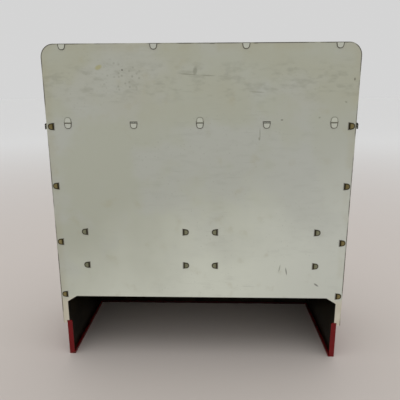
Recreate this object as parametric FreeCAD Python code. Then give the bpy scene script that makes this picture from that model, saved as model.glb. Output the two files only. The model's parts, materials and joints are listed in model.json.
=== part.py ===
import FreeCAD, Part
import math
import os
from collections import namedtuple
from FreeCAD import Vector

# Toy kitchen range of lithographed tinplate, joined by tabs folded over in slots.
# Millimetres. +Z is up, the floor is Z = 0, the oven doors face -Y and the flat back panel faces +Y.
# Left and right are as seen from the front, so left is -X.

# Sheet and folded tabs
SHEET = 0.5
SLOT_CLEAR = 0.25
TAB_BEVEL_SHARE = 0.6
WHITE_TAB_WIDTH = 6.6
WHITE_TAB_LENGTH = 5.2
WHITE_TAB_TIP = 5.4
TOP_TAB_WIDTH = 6.9
TOP_TAB_LENGTH = 5.4
TOP_TAB_TIP = 5.0
GOLD_TAB_WIDTH = 6.4
GOLD_TAB_LENGTH = 5.3
GOLD_TAB_TIP = 4.8
TAB_TIP_ROUND = 2.2

# Back panel
PANEL_WIDTH = 300.0
PANEL_CORNER = 12.5
PANEL_OVERHANG = 6.4
CUTOUT_Z = 70.0
CUTOUT_SHOULDER_WIDTH = 10.2
CUTOUT_SHOULDER_DROP = 6.4
LEG_END_Z = 38.0
LEG_CLEAR = 0.2
LEG_ROUND = 1.0
TOP_TAB_COUNT = 4
TOP_TAB_INSET = 20.5
COUNTER_TAB_COUNT = 5
COUNTER_TAB_INSET = 21.2
SIDE_TAB_COUNT = 4
SIDE_TAB_LOW_Z = 72.3
SIDE_TAB_TOP_DROP = 3.4

# Cabinet
BODY_DEPTH = 126.0
COUNTER_Z = 253.7
FRONT_CORNER = 3.0
FRONT_RETURN = 14.0

# Red kick base, three strips of channel that the walls stand in
KICK_HEIGHT = 41.0
KICK_STANDOFF = 2.0
KICK_CORNER = 4.0
KICK_SEAM = 0.1
KICK_WEB = 6.5
KICK_HEM_HEIGHT = 2.5
KICK_FLANGE = 5.4
KICK_FLANGE_ROUND = 2.0
NOTCH_CLEAR = 0.1

# Range top
TOP_SIDE_PROUD = 2.0
TOP_FRONT_OVERHANG = 8.0
TOP_CORNER = 10.0
TOP_LIP = 6.0
TOP_HEM = 3.5
TOP_BEVEL = 1.2
BURNER_COLUMN_PITCH = 172.0
BURNER_ROW_PITCH = 50.0
BURNER_RADIUS = 21.0
BURNER_RISE = 2.0
BURNER_STEP = 1.0
BURNER_STEP_WIDTH = 3.0
BURNER_TAB_PITCH = 20.0

# Splash panel behind the burners
SPLASH_HEIGHT = 73.3
SPLASH_FOOT_DEPTH = 22.0
SPLASH_HEAD_DEPTH = 14.0
SPLASH_FIELD_MARGIN = 16.0
SPLASH_FIELD_CUT = 6.0
EMBOSS = 0.8

# Oven liners and shelves
OVEN_WIDTH = 99.5
OVEN_GAP = 35.0
OVEN_HEIGHT = 84.0
OVEN_CENTRE_Z = 124.4
OVEN_CORNER = 2.5
OVEN_TAB_PITCH = 36.6
OPENING_LIP = 2.0
OPENING_CUT = 3.0
SHELF_Z = 118.0
SHELF_FRONT_SETBACK = 10.0
SHELF_REAR_SETBACK = 5.0
SHELF_LIP = 4.0
SHELF_TAB_PITCH = 70.0
SHELF_SLOT_COUNT = 7
SHELF_SLOT_WIDTH = 5.0
SHELF_SLOT_MARGIN = 12.0

# Oven doors and their hinges
DOOR_GAP = 1.0
DOOR_DEPTH = 6.0
DOOR_CORNER = 6.0
DOOR_BEVEL = 1.2
DOOR_LAP_SIDE = 9.0
DOOR_LAP_LOW = 12.0
DOOR_LAP_HIGH = 11.0
DOOR_FOLD = 3.0
DOOR_FIT = 0.1
DOOR_FIELD_MARGIN = 14.0
DOOR_FIELD_TOP = 30.0
DOOR_FIELD_CUT = 6.0
HINGE_STANDOFF = 4.0
HINGE_STOP_GAP = 0.2
HINGE_LOOP_SIDES = 8
HINGE_ROD_RADIUS = 1.0
HINGE_RUN = 0.05
EAR_GAP = 0.4
EAR_RADIUS = 3.2
EAR_CUT = 1.4
ROD_OVERHANG = 0.8
BACK_SHEET_RISE = 5.0

# Door handles
HANDLE_STANDOFF = 11.5
HANDLE_LENGTH = 78.0
HANDLE_HEIGHT = 9.0
HANDLE_DROP = 15.0
HANDLE_BEND = 7.0

# Control knobs
KNOB_COUNT = 5
KNOB_PITCH = 48.0
KNOB_DROP = 39.7
KNOB_RADIUS = 12.5
KNOB_SIDES = 16
KNOB_SKIRT = 3.0
KNOB_GRIP = 9.5
KNOB_GRIP_WIDTH = 7.5
KNOB_GRIP_TIP_WIDTH = 5.0
KNOB_GRIP_SETBACK = 1.6
KNOB_GAP = 0.3
PIN_RADIUS = 2.0
PIN_RUN = 0.06
PIN_IN_KNOB = 8.0
PIN_HEAD = 9.0
PIN_HEAD_THICK = 1.0

# Places that follow from the sizes above
HANDLE_REACH = DOOR_GAP + DOOR_DEPTH + HANDLE_STANDOFF
OVERALL_DEPTH = HANDLE_REACH + BODY_DEPTH + SHEET
BACK_Y = OVERALL_DEPTH / 2 - SHEET
INNER_BACK_Y = BACK_Y - SHEET
FRONT_Y = BACK_Y - BODY_DEPTH
INNER_FRONT_Y = FRONT_Y + SHEET
WALL_OUT = PANEL_WIDTH / 2 - PANEL_OVERHANG
WALL_IN = WALL_OUT - SHEET
UNDER_COUNTER_Z = COUNTER_Z - SHEET
PANEL_TOP = COUNTER_Z + SPLASH_HEIGHT
KNOB_Z = COUNTER_Z - KNOB_DROP
KICK_OUT = WALL_OUT + KICK_STANDOFF + SHEET
KICK_FRONT_Y = FRONT_Y - KICK_STANDOFF - SHEET
KICK_SEAM_X = KICK_OUT - 2 * KICK_CORNER
LEG_FOOT_IN = KICK_OUT + LEG_CLEAR
LEG_FOOT_Z = KICK_HEIGHT + LEG_CLEAR
TOP_OUT = PANEL_WIDTH / 2 + TOP_SIDE_PROUD
TOP_FRONT_Y = FRONT_Y - TOP_FRONT_OVERHANG
BURNER_MIDDLE_Y = (INNER_FRONT_Y + INNER_BACK_Y - SPLASH_FOOT_DEPTH) / 2
OVEN_IN = OVEN_GAP / 2
OVEN_OUT = OVEN_IN + OVEN_WIDTH
OVEN_LOW = OVEN_CENTRE_Z - OVEN_HEIGHT / 2
OVEN_HIGH = OVEN_CENTRE_Z + OVEN_HEIGHT / 2
OVEN_CENTRE_X = (OVEN_IN + OVEN_OUT) / 2
OPENING = (OVEN_IN + OPENING_LIP, OVEN_OUT - OPENING_LIP, OVEN_LOW + OPENING_LIP, OVEN_HIGH - OPENING_LIP)
DOOR_IN = OPENING[0] - DOOR_LAP_SIDE
DOOR_OUT = OPENING[1] + DOOR_LAP_SIDE
DOOR_LOW = OPENING[2] - DOOR_LAP_LOW
DOOR_HIGH = OPENING[3] + DOOR_LAP_HIGH
DOOR_REAR_Y = FRONT_Y - DOOR_GAP
DOOR_FRONT_Y = DOOR_REAR_Y - DOOR_DEPTH
HINGE_Y = FRONT_Y - HINGE_STANDOFF
HINGE_LOOP_RADIUS = HINGE_STANDOFF - DOOR_GAP
HINGE_Z = DOOR_LOW + HINGE_STANDOFF - HINGE_STOP_GAP
HANDLE_Z = DOOR_HIGH - HANDLE_DROP
SHELF_FRONT_Y = INNER_FRONT_Y + SHELF_FRONT_SETBACK
SHELF_REAR_Y = INNER_BACK_Y - SHELF_REAR_SETBACK
SHELF_MIDDLE_Y = (SHELF_FRONT_Y + SHELF_REAR_Y) / 2

LEFT, RIGHT = -1, 1
X_AXIS, Y_AXIS, Z_AXIS = Vector(1, 0, 0), Vector(0, 1, 0), Vector(0, 0, 1)

# A tab's root is the middle of its width where it meets the slotted sheet, on the face away from the fold.
# It runs through along "out" and lies flat along "fold".
Seat = namedtuple("Seat", "root out fold width length tip tip_round")


# Flat outlines and simple solids

def on_xy(z):
    return lambda p: Vector(p.x, p.y, z)


def on_xz(y):
    return lambda p: Vector(p.x, y, p.y)


def on_yz(x):
    return lambda p: Vector(x, p.x, p.y)


def outline(corners, place):
    """A flat face through (u, v, radius) corners, put in space by place."""
    spots = [Vector(u, v, 0) for u, v, radius in corners]
    bends = []
    for i, (u, v, radius) in enumerate(corners):
        here = spots[i]
        if not radius:
            bends.append((here, None, here))
            continue
        before = (spots[i - 1] - here).normalize()
        after = (spots[(i + 1) % len(spots)] - here).normalize()
        half = before.getAngle(after) / 2
        reach = radius / math.tan(half)
        inward = (before + after).normalize()
        middle = here + inward * (radius / math.sin(half) - radius)
        bends.append((here + before * reach, middle, here + after * reach))
    edges = []
    for i, (start, middle, end) in enumerate(bends):
        if middle is not None:
            edges.append(Part.Arc(place(start), place(middle), place(end)).toShape())
        following = bends[(i + 1) % len(bends)][0]
        if end.distanceToPoint(following) > 1e-6:
            edges.append(Part.makeLine(place(end), place(following)))
    return Part.Face(Part.Wire(edges))


def prism(corners, place, along):
    return outline(corners, place).extrude(along)


def rectangle(u0, u1, v0, v1):
    return [(u0, v0, 0), (u1, v0, 0), (u1, v1, 0), (u0, v1, 0)]


def cut_rectangle(u0, u1, v0, v1, cut):
    """A rectangle with its corners cut off."""
    return [
        (u0 + cut, v0, 0), (u1 - cut, v0, 0), (u1, v0 + cut, 0), (u1, v1 - cut, 0),
        (u1 - cut, v1, 0), (u0 + cut, v1, 0), (u0, v1 - cut, 0), (u0, v0 + cut, 0),
    ]


def polygon(u, v, radius, sides):
    """A regular polygon inside a circle."""
    turns = [2 * math.pi * i / sides for i in range(sides)]
    return [(u + radius * math.cos(turn), v + radius * math.sin(turn), 0) for turn in turns]


def block(x0, x1, y0, y1, z0, z1):
    return Part.makeBox(x1 - x0, y1 - y0, z1 - z0, Vector(x0, y0, z0))


def rod(radius, start, along, length):
    return Part.makeCylinder(radius, length, start, along)


def joined(first, others):
    return first.fuse(list(others)).removeSplitter()


def spread(count, first, last):
    return [first + (last - first) * i / (count - 1) for i in range(count)]


def mirrored(shape):
    return shape.mirror(Vector(0, 0, 0), X_AXIS)


def on_side(shape, side):
    return shape if side == RIGHT else mirrored(shape)


# Tabs and the slots they pass through

def across(seat):
    return seat.out.cross(seat.fold)


def tab(seat):
    half = seat.width / 2
    tip = seat.tip / 2
    bevel = TAB_BEVEL_SHARE * SHEET
    wide = across(seat)

    def section(p):
        return seat.root + seat.fold * p.x + seat.out * p.y - wide * half

    def plan(p):
        return seat.root + wide * p.x + seat.fold * p.y

    bent = prism(
        [
            (0, 0, 0),
            (SHEET, 0, 0),
            (SHEET, SHEET, 0),
            (seat.length, SHEET, 0),
            (seat.length, 2 * SHEET, 0),
            (bevel, 2 * SHEET, 0),
            (0, 2 * SHEET - bevel, 0),
        ],
        section,
        wide * seat.width,
    )
    shape = [
        (-half, -SHEET, 0),
        (half, -SHEET, 0),
        (half, 2 * SHEET, 0),
        (tip, seat.length, seat.tip_round),
        (-tip, seat.length, seat.tip_round),
        (-half, 2 * SHEET, 0),
    ]
    return bent.common(prism(shape, plan, seat.out * (2 * SHEET)))


def slot(seat):
    half = seat.width / 2 + SLOT_CLEAR
    wide = across(seat)

    def plan(p):
        return seat.root + wide * p.x + seat.fold * p.y - seat.out * SHEET

    return prism(rectangle(-half, half, -SLOT_CLEAR, SHEET + SLOT_CLEAR), plan, seat.out * (3 * SHEET))


def top_seats():
    end = PANEL_WIDTH / 2 - TOP_TAB_INSET
    return [
        Seat(
            Vector(x, INNER_BACK_Y, PANEL_TOP), Y_AXIS, -Z_AXIS,
            TOP_TAB_WIDTH, TOP_TAB_LENGTH, TOP_TAB_TIP, TAB_TIP_ROUND,
        )
        for x in spread(TOP_TAB_COUNT, -end, end)
    ]


def counter_seats(fold):
    end = PANEL_WIDTH / 2 - COUNTER_TAB_INSET
    return [
        Seat(
            Vector(x, INNER_BACK_Y, COUNTER_Z), Y_AXIS, fold,
            WHITE_TAB_WIDTH, WHITE_TAB_LENGTH, WHITE_TAB_TIP, TAB_TIP_ROUND,
        )
        for x in spread(COUNTER_TAB_COUNT, -end, end)
    ]


def side_seats(side):
    high = COUNTER_Z - SIDE_TAB_TOP_DROP
    return [
        Seat(
            Vector(side * WALL_IN, INNER_BACK_Y, z), Y_AXIS, X_AXIS * side,
            GOLD_TAB_WIDTH, GOLD_TAB_LENGTH, GOLD_TAB_TIP, TAB_TIP_ROUND,
        )
        for z in spread(SIDE_TAB_COUNT, SIDE_TAB_LOW_Z, high)
    ]


def liner_seats(y, out, tip_round):
    """Tabs of the right-hand liner at its rear or front edge, folded away from the oven."""
    seats = []
    for x, fold in ((OVEN_IN, -X_AXIS), (OVEN_OUT, X_AXIS)):
        for z in (OVEN_CENTRE_Z - OVEN_TAB_PITCH / 2, OVEN_CENTRE_Z + OVEN_TAB_PITCH / 2):
            root = Vector(x, y, z)
            seats.append(Seat(root, out, fold, GOLD_TAB_WIDTH, GOLD_TAB_LENGTH, GOLD_TAB_TIP, tip_round))
    return seats


def liner_rear_seats():
    return liner_seats(INNER_BACK_Y, Y_AXIS, TAB_TIP_ROUND)


def liner_front_seats():
    return liner_seats(INNER_FRONT_Y, -Y_AXIS, 0)


def shelf_seats():
    seats = []
    for x, out in ((OVEN_IN, -X_AXIS), (OVEN_OUT, X_AXIS)):
        for y in (SHELF_MIDDLE_Y - SHELF_TAB_PITCH / 2, SHELF_MIDDLE_Y + SHELF_TAB_PITCH / 2):
            root = Vector(x, y, SHELF_Z)
            seats.append(Seat(root, out, -Z_AXIS, GOLD_TAB_WIDTH, GOLD_TAB_LENGTH, GOLD_TAB_TIP, 0))
    return seats


def burner_seats(place):
    """Tabs of one burner plate, folded away from each other under the range top."""
    seats = []
    for side in (LEFT, RIGHT):
        root = place + X_AXIS * (side * BURNER_TAB_PITCH / 2)
        seats.append(Seat(root, -Z_AXIS, X_AXIS * side, GOLD_TAB_WIDTH, GOLD_TAB_LENGTH, GOLD_TAB_TIP, 0))
    return seats


def handle_seats():
    """Tabs of the right-hand handle through the door's skin, folded towards each other."""
    seats = []
    for side in (LEFT, RIGHT):
        root = Vector(OVEN_CENTRE_X + side * HANDLE_LENGTH / 2, DOOR_FRONT_Y, HANDLE_Z)
        seats.append(Seat(root, Y_AXIS, X_AXIS * -side, GOLD_TAB_WIDTH, GOLD_TAB_LENGTH, GOLD_TAB_TIP, 0))
    return seats


# Cabinet sheets

def back_panel():
    """Flat sheet with a cut-out low down, whose narrow legs pass outside the base."""
    half = PANEL_WIDTH / 2
    right_edge = [
        (WALL_OUT - CUTOUT_SHOULDER_WIDTH, CUTOUT_Z, 0),
        (WALL_OUT, CUTOUT_Z - CUTOUT_SHOULDER_DROP, 0),
        (WALL_OUT, LEG_FOOT_Z, 0),
        (LEG_FOOT_IN, LEG_FOOT_Z, 0),
        (LEG_FOOT_IN, LEG_END_Z, LEG_ROUND),
        (half, LEG_END_Z, LEG_ROUND),
        (half, PANEL_TOP, PANEL_CORNER),
    ]
    left_edge = [(-x, z, radius) for x, z, radius in reversed(right_edge)]
    corners = right_edge + left_edge
    panel = prism(corners, on_xz(INNER_BACK_Y), Y_AXIS * SHEET)
    seats = top_seats() + counter_seats(-Z_AXIS) + counter_seats(Z_AXIS)
    seats += side_seats(LEFT) + side_seats(RIGHT)
    slots = [slot(seat) for seat in seats]
    for seat in liner_rear_seats():
        slots += [slot(seat), mirrored(slot(seat))]
    return panel.cut(slots)


def side_panel(side):
    front = FRONT_Y + FRONT_CORNER
    notch_y = INNER_BACK_Y - SHEET - NOTCH_CLEAR
    notch_z = KICK_HEIGHT + NOTCH_CLEAR
    corners = [
        (front, SHEET, 0),
        (notch_y, SHEET, 0),
        (notch_y, notch_z, 0),
        (INNER_BACK_Y, notch_z, 0),
        (INNER_BACK_Y, UNDER_COUNTER_Z, 0),
        (front, UNDER_COUNTER_Z, 0),
    ]
    wall = prism(corners, on_yz(side * WALL_IN), X_AXIS * (side * SHEET))
    return joined(wall, [tab(seat) for seat in side_seats(side)])


def hinge_ear(x):
    """A lug lanced out of the front panel, with the rod's hole; x is its lower face."""
    shape = [
        (INNER_FRONT_Y, HINGE_Z - EAR_RADIUS, 0),
        (INNER_FRONT_Y, HINGE_Z + EAR_RADIUS, 0),
        (HINGE_Y - EAR_CUT, HINGE_Z + EAR_RADIUS, 0),
        (HINGE_Y - EAR_RADIUS, HINGE_Z + EAR_CUT, 0),
        (HINGE_Y - EAR_RADIUS, HINGE_Z - EAR_CUT, 0),
        (HINGE_Y - EAR_CUT, HINGE_Z - EAR_RADIUS, 0),
    ]
    hole = rod(HINGE_ROD_RADIUS, Vector(x - SHEET, HINGE_Y, HINGE_Z), X_AXIS, 3 * SHEET)
    return prism(shape, on_yz(x), X_AXIS * SHEET).cut(hole)


def ear_places():
    return DOOR_IN - EAR_GAP - SHEET, DOOR_OUT + EAR_GAP


def ear_window(x0, x1):
    """The gap that a lug leaves in the panel, behind the door."""
    return block(x0, x1, FRONT_Y - SHEET, INNER_FRONT_Y + SHEET, HINGE_Z - EAR_RADIUS, HINGE_Z + EAR_RADIUS)


def front_panel():
    half = WALL_IN
    inner = half - SHEET
    rear = FRONT_Y + FRONT_RETURN
    section = [
        (-half, rear, 0),
        (-half, FRONT_Y, FRONT_CORNER),
        (half, FRONT_Y, FRONT_CORNER),
        (half, rear, 0),
        (inner, rear, 0),
        (inner, INNER_FRONT_Y, FRONT_CORNER - SHEET),
        (-inner, INNER_FRONT_Y, FRONT_CORNER - SHEET),
        (-inner, rear, 0),
    ]
    panel = prism(section, on_xy(SHEET), Z_AXIS * (UNDER_COUNTER_Z - SHEET))
    ear_in, ear_out = ear_places()
    blank = HINGE_STANDOFF + EAR_RADIUS
    openings = [prism(cut_rectangle(*OPENING, OPENING_CUT), on_xz(FRONT_Y - SHEET), Y_AXIS * (3 * SHEET))]
    openings.append(ear_window(ear_in + SHEET, ear_in + SHEET + blank))
    openings.append(ear_window(ear_out - blank, ear_out))
    openings += [slot(seat) for seat in liner_front_seats()]
    cuts = openings + [mirrored(opening) for opening in openings]
    for x in knob_places():
        cuts.append(rod(PIN_RADIUS + PIN_RUN, Vector(x, FRONT_Y - SHEET, KNOB_Z), Y_AXIS, 3 * SHEET))
    ears = [hinge_ear(ear_in), hinge_ear(ear_out)]
    return joined(panel.cut(cuts), ears + [mirrored(ear) for ear in ears])


def bay(inset, half, front, rear, corner):
    """Plan of a front-rounded bay, open edge at the rear, drawn in by inset."""
    radius = max(corner - inset, 0)
    return [
        (-half + inset, front + inset, radius),
        (half - inset, front + inset, radius),
        (half - inset, rear, 0),
        (-half + inset, rear, 0),
    ]


def kick_ring(outer, inner, z0, z1):
    """Upright band of the base between two insets."""
    along = Z_AXIS * (z1 - z0)
    solid = prism(bay(outer, KICK_OUT, KICK_FRONT_Y, INNER_BACK_Y, KICK_CORNER), on_xy(z0), along)
    return solid.cut(prism(bay(inner, KICK_OUT, KICK_FRONT_Y, BACK_Y, KICK_CORNER), on_xy(z0), along))


def kick_channel():
    """Skirt with a ledge that meets the walls, a web that they stand on and a low hem inside."""
    skirt = kick_ring(0, SHEET, 0, KICK_HEIGHT)
    ledge = kick_ring(0, SHEET + KICK_STANDOFF, KICK_HEIGHT - SHEET, KICK_HEIGHT)
    web = kick_ring(0, KICK_WEB, 0, SHEET)
    hem = kick_ring(KICK_WEB - SHEET, KICK_WEB, 0, KICK_HEM_HEIGHT)
    return joined(skirt, [ledge, web, hem])


def kick_span(x0, x1):
    """Space of one strip of the base, between its seams."""
    return block(x0, x1, KICK_FRONT_Y - SHEET, INNER_BACK_Y, -SHEET, KICK_HEIGHT + SHEET)


def front_kick_plate():
    return kick_channel().common(kick_span(-KICK_SEAM_X, KICK_SEAM_X))


def side_kick_plate(side):
    """Side strip of the base, with the front corner and a flange folded in at the rear."""
    strip = kick_channel().common(kick_span(KICK_SEAM_X + KICK_SEAM, KICK_OUT + SHEET))
    flange = [
        (KICK_OUT - KICK_FLANGE, 0, 0),
        (KICK_OUT, 0, 0),
        (KICK_OUT, KICK_HEIGHT, 0),
        (KICK_OUT - KICK_FLANGE, KICK_HEIGHT, KICK_FLANGE_ROUND),
    ]
    rear = prism(flange, on_xz(INNER_BACK_Y - SHEET), Y_AXIS * SHEET)
    return on_side(joined(strip, [rear]), side)


# Range top and burners

def burner_places():
    x = BURNER_COLUMN_PITCH / 2
    y = BURNER_ROW_PITCH / 2
    return [
        Vector(side * x, BURNER_MIDDLE_Y + row * y, COUNTER_Z) for side in (LEFT, RIGHT) for row in (-1, 1)
    ]


def upper_rim(shape, z):
    """Edges of the top face at height z, less the straight rear edge."""
    rim = []
    for edge in shape.Edges:
        ends = [vertex.Point for vertex in edge.Vertexes]
        level = all(abs(p.z - z) < 1e-6 for p in ends)
        rear = all(abs(p.y - shape.BoundBox.YMax) < 1e-6 for p in ends)
        if level and not rear:
            rim.append(edge)
    return rim


def tray(inset, rear, z0, z1):
    """Block of the range top's outline with its upper rim bevelled."""
    plan = bay(inset, TOP_OUT, TOP_FRONT_Y, rear, TOP_CORNER)
    solid = prism(plan, on_xy(z0), Z_AXIS * (z1 - z0))
    return solid.makeChamfer(TOP_BEVEL, upper_rim(solid, z1))


def lip_hem():
    """Lower edge of the lip, folded back up inside it."""
    z0 = COUNTER_Z - TOP_LIP
    along = Z_AXIS * TOP_HEM
    outer = prism(bay(SHEET, TOP_OUT, TOP_FRONT_Y, INNER_BACK_Y, TOP_CORNER), on_xy(z0), along)
    return outer.cut(prism(bay(2 * SHEET, TOP_OUT, TOP_FRONT_Y, BACK_Y, TOP_CORNER), on_xy(z0), along))


def range_top():
    top = tray(0, INNER_BACK_Y, COUNTER_Z - TOP_LIP, COUNTER_Z)
    top = top.cut(tray(SHEET, BACK_Y, COUNTER_Z - TOP_LIP - SHEET, UNDER_COUNTER_Z))
    slots = [slot(seat) for place in burner_places() for seat in burner_seats(place)]
    pieces = [tab(seat) for seat in counter_seats(-Z_AXIS)]
    return joined(top.cut(slots), pieces + [lip_hem()])


def burner_disc(place):
    """Burner plate with a raised middle, its two tabs folded over under the range top."""
    plate = rod(BURNER_RADIUS, place, Z_AXIS, BURNER_RISE - BURNER_STEP)
    middle = rod(BURNER_RADIUS - BURNER_STEP_WIDTH, place, Z_AXIS, BURNER_RISE)
    return joined(plate, [middle] + [tab(seat) for seat in burner_seats(place)])


# Splash panel

def splash_block(inset, proud, field):
    """Sloping block of the splash panel; field is the margin of its embossed face, or None for all of it."""
    half = PANEL_WIDTH / 2 - inset
    low = COUNTER_Z + inset
    high = PANEL_TOP - inset
    rear = INNER_BACK_Y + (SHEET if inset else 0)
    plan = [
        (-half, low, 0),
        (half, low, 0),
        (half, high, PANEL_CORNER - inset),
        (-half, high, PANEL_CORNER - inset),
    ]
    if field:
        plan = cut_rectangle(-half + field, half - field, low + field, high - field, SPLASH_FIELD_CUT)
    foot = INNER_BACK_Y - SPLASH_FOOT_DEPTH + inset - proud
    head = INNER_BACK_Y - SPLASH_HEAD_DEPTH + inset - proud
    slope = [(rear, COUNTER_Z, 0), (foot, COUNTER_Z, 0), (head, PANEL_TOP, 0), (rear, PANEL_TOP, 0)]
    reach = SPLASH_FOOT_DEPTH + SPLASH_HEAD_DEPTH
    front_view = prism(plan, on_xz(rear), Y_AXIS * -reach)
    return front_view.common(prism(slope, on_yz(-PANEL_WIDTH), X_AXIS * (2 * PANEL_WIDTH)))


def splash_panel():
    outer = joined(splash_block(0, 0, None), [splash_block(0, EMBOSS, SPLASH_FIELD_MARGIN)])
    inner = joined(splash_block(SHEET, 0, None), [splash_block(SHEET, EMBOSS, SPLASH_FIELD_MARGIN)])
    tabs = [tab(seat) for seat in top_seats()]
    tabs += [tab(seat) for seat in counter_seats(Z_AXIS)[::2]]
    return joined(outer.cut(inner), tabs)


# Ovens

def oven_liner(side):
    depth = Y_AXIS * (INNER_BACK_Y - INNER_FRONT_Y)
    outer = cut_rectangle(
        OVEN_IN - SHEET, OVEN_OUT + SHEET, OVEN_LOW - SHEET, OVEN_HIGH + SHEET, OVEN_CORNER
    )
    inner = cut_rectangle(OVEN_IN, OVEN_OUT, OVEN_LOW, OVEN_HIGH, OVEN_CORNER - SHEET)
    tube = prism(outer, on_xz(INNER_FRONT_Y), depth).cut(prism(inner, on_xz(INNER_FRONT_Y), depth))
    tube = tube.cut([slot(seat) for seat in shelf_seats()])
    tabs = [tab(seat) for seat in liner_rear_seats() + liner_front_seats()]
    return on_side(joined(tube, tabs), side)


def oven_shelf(side):
    z = SHELF_Z - SHEET
    plate = block(OVEN_IN, OVEN_OUT, SHELF_FRONT_Y, SHELF_REAR_Y, z, SHELF_Z)
    lip = block(OVEN_IN, OVEN_OUT, SHELF_FRONT_Y, SHELF_FRONT_Y + SHEET, SHELF_Z - SHELF_LIP, SHELF_Z)
    edge = SHELF_SLOT_MARGIN + SHELF_SLOT_WIDTH / 2
    slots = [
        block(
            x - SHELF_SLOT_WIDTH / 2, x + SHELF_SLOT_WIDTH / 2,
            SHELF_FRONT_Y + SHELF_SLOT_MARGIN, SHELF_REAR_Y - SHELF_SLOT_MARGIN, z - SHEET, SHELF_Z + SHEET,
        )
        for x in spread(SHELF_SLOT_COUNT, OVEN_IN + edge, OVEN_OUT - edge)
    ]
    shelf = joined(plate, [lip]).cut(slots)
    return on_side(joined(shelf, [tab(seat) for seat in shelf_seats()]), side)


# Oven doors

def front_rim(shape):
    """Edges round the front face, less the bottom one."""
    rim = []
    for edge in shape.Edges:
        ends = [vertex.Point for vertex in edge.Vertexes]
        front = all(abs(p.y - shape.BoundBox.YMin) < 1e-6 for p in ends)
        bottom = all(abs(p.z - shape.BoundBox.ZMin) < 1e-6 for p in ends)
        if front and not bottom:
            rim.append(edge)
    return rim


def door_plan(inset, low):
    radius = DOOR_CORNER - inset
    return [
        (DOOR_IN + inset, low, 0),
        (DOOR_OUT - inset, low, 0),
        (DOOR_OUT - inset, DOOR_HIGH - inset, radius),
        (DOOR_IN + inset, DOOR_HIGH - inset, radius),
    ]


def door_block(inset, front, rear, low):
    """Block of the door's outline with its front rim bevelled."""
    solid = prism(door_plan(inset, low), on_xz(front), Y_AXIS * (rear - front))
    return solid.makeChamfer(DOOR_BEVEL, front_rim(solid))


def door_field(inset, front, depth):
    """Raised panel pressed in the door's face."""
    margin = DOOR_FIELD_MARGIN + inset
    shape = cut_rectangle(
        DOOR_IN + margin, DOOR_OUT - margin, DOOR_LOW + margin,
        DOOR_HIGH - DOOR_FIELD_TOP - inset, DOOR_FIELD_CUT,
    )
    return prism(shape, on_xz(front), Y_AXIS * depth)


def hinge_loop(x):
    """Lower end of a door flange, round the hinge rod; x is its lower face."""
    return prism(polygon(HINGE_Y, HINGE_Z, HINGE_LOOP_RADIUS, HINGE_LOOP_SIDES), on_yz(x), X_AXIS * SHEET)


def door_skin(side):
    """Pressed outer pan, its edges folded in over the back sheet, hinged through its side flanges."""
    below = DOOR_LOW - SHEET
    skin = door_block(0, DOOR_FRONT_Y, DOOR_REAR_Y, DOOR_LOW)
    skin = joined(skin, [door_field(0, DOOR_FRONT_Y - EMBOSS, 2 * EMBOSS)])
    hollow = door_block(SHEET, DOOR_FRONT_Y + SHEET, DOOR_REAR_Y - SHEET, below)
    hollow = joined(hollow, [door_field(SHEET, DOOR_FRONT_Y + SHEET - EMBOSS, 2 * EMBOSS)])
    mouth = prism(
        door_plan(SHEET + DOOR_FOLD, below), on_xz(DOOR_REAR_Y - 2 * SHEET), Y_AXIS * (3 * SHEET)
    )
    heel = block(DOOR_IN, DOOR_OUT, DOOR_FRONT_Y + SHEET, DOOR_REAR_Y, below, HINGE_Z)
    fold_end = block(
        DOOR_IN + SHEET, DOOR_OUT - SHEET, DOOR_REAR_Y - SHEET, DOOR_REAR_Y, below, HINGE_Z + BACK_SHEET_RISE
    )
    skin = skin.cut([hollow, mouth, heel, fold_end])
    skin = joined(skin, [hinge_loop(DOOR_IN), hinge_loop(DOOR_OUT - SHEET)])
    bore_start = Vector(DOOR_IN - SHEET, HINGE_Y, HINGE_Z)
    bore = rod(HINGE_ROD_RADIUS + HINGE_RUN, bore_start, X_AXIS, DOOR_OUT - DOOR_IN + 2 * SHEET)
    return on_side(skin.cut([bore] + [slot(seat) for seat in handle_seats()]), side)


def door_back(side):
    """Flat inner sheet held under the skin's folded edges."""
    shape = door_plan(SHEET + DOOR_FIT, HINGE_Z + BACK_SHEET_RISE)
    return on_side(prism(shape, on_xz(DOOR_REAR_Y - 2 * SHEET), Y_AXIS * SHEET), side)


def handle_bow(inset):
    """Plan of the handle's bow, drawn in by inset, with its ends on the door."""
    half = HANDLE_LENGTH / 2 - inset
    front = DOOR_FRONT_Y - HANDLE_STANDOFF + inset
    bend = HANDLE_BEND - inset
    x = OVEN_CENTRE_X
    return [
        (x - half, DOOR_FRONT_Y, 0),
        (x - half, front, bend),
        (x + half, front, bend),
        (x + half, DOOR_FRONT_Y, 0),
    ]


def door_handle(side):
    """Bent strip, its end tabs folded over inside the door's skin."""
    low = on_xy(HANDLE_Z - HANDLE_HEIGHT / 2)
    along = Z_AXIS * HANDLE_HEIGHT
    strip = prism(handle_bow(0), low, along).cut(prism(handle_bow(SHEET), low, along))
    return on_side(joined(strip, [tab(seat) for seat in handle_seats()]), side)


def hinge_rod(side):
    """Straight wire driven through both lugs, with the door's flanges turning on it."""
    ear_in, ear_out = ear_places()
    start = Vector(ear_in - ROD_OVERHANG, HINGE_Y, HINGE_Z)
    length = ear_out + SHEET + ROD_OVERHANG - start.x
    return on_side(rod(HINGE_ROD_RADIUS, start, X_AXIS, length), side)


# Control knobs

def knob_places():
    reach = KNOB_PITCH * (KNOB_COUNT - 1) / 2
    return spread(KNOB_COUNT, -reach, reach)


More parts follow.
